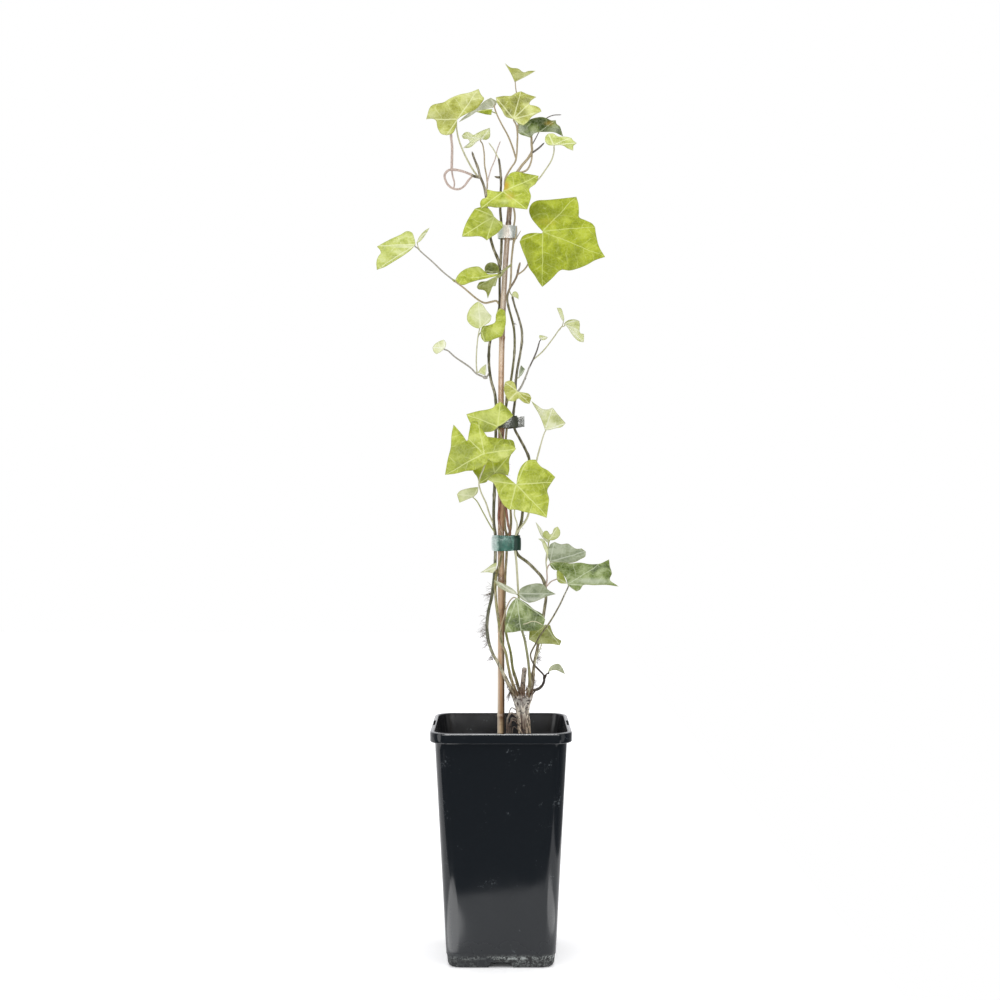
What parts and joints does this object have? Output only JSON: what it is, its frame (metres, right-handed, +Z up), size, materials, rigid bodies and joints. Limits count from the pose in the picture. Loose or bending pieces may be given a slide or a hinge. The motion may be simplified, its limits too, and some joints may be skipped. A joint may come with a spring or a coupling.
{
  "type": "potted climbing ivy",
  "caption": "Young climbing ivy with lobed leaves, tied to an upright bamboo cane in a tall square tapered nursery pot with a lip and raised drain channels.",
  "frame": {"origin": "centre of the pot's resting face, on the floor", "axes": "+Z up along the pot's middle, the plant's best side looks along -Y, +X to the right as seen from there"},
  "size_m": [0.2126, 0.12, 0.7743],
  "materials": {
    "pot_plastic": "glossy black moulded plastic",
    "compost": "dark loose potting compost",
    "bamboo": "smooth tan bamboo",
    "tie_green": "soft teal-green tape",
    "tie_dark": "dark olive tape",
    "tie_pale": "pale translucent tape",
    "root": "pale fibrous root bark",
    "grey_stem": "dark grey-green stem",
    "green_stem": "yellow-green stem",
    "brown_stem": "brown stem",
    "leaf_bright": "bright yellow-green leaf",
    "leaf_pale": "pale young leaf",
    "leaf_deep": "dark green leaf",
    "leaf_grey": "grey-green leaf underside"
  },
  "bodies": {
    "root": {"pot": "pot_plastic", "soil": "compost", "cane": "bamboo", "tie_low": "tie_green", "tie_mid": "tie_dark", "tie_top": "tie_pale", "root_collar": "root", "stem_left": "grey_stem", "stem_front": "green_stem", "stem_back": "green_stem", "stem_low": "green_stem", "stem_right": "brown_stem", "stem_far": "brown_stem", "leaf_01": "leaf_grey", "leaf_02": "leaf_bright", "leaf_03": "leaf_bright", "leaf_04": "leaf_grey", "leaf_05": "leaf_bright", "leaf_06": "leaf_deep", "leaf_07": "leaf_pale", "leaf_08": "leaf_pale", "leaf_09": "leaf_bright", "leaf_10": "leaf_bright", "leaf_11": "leaf_bright", "leaf_12": "leaf_bright", "leaf_13": "leaf_pale", "leaf_14": "leaf_bright", "leaf_15": "leaf_deep", "leaf_16": "leaf_grey", "leaf_17": "leaf_pale", "leaf_18": "leaf_bright", "leaf_19": "leaf_pale", "leaf_20": "leaf_pale", "leaf_21": "leaf_pale", "leaf_22": "leaf_pale", "leaf_23": "leaf_bright", "leaf_24": "leaf_pale", "leaf_25": "leaf_bright", "leaf_26": "leaf_bright", "leaf_27": "leaf_bright", "leaf_28": "leaf_bright", "leaf_29": "leaf_pale", "leaf_30": "leaf_pale", "leaf_31": "leaf_bright", "leaf_32": "leaf_grey", "leaf_33": "leaf_grey", "leaf_34": "leaf_deep", "leaf_35": "leaf_bright", "leaf_36": "leaf_grey", "leaf_37": "leaf_grey", "leaf_38": "leaf_deep", "leaf_39": "leaf_bright", "leaf_40": "leaf_grey", "leaf_41": "leaf_pale", "leaf_42": "leaf_pale", "leaf_43": "leaf_grey", "leaf_44": "leaf_grey"}
  },
  "joints": []
}
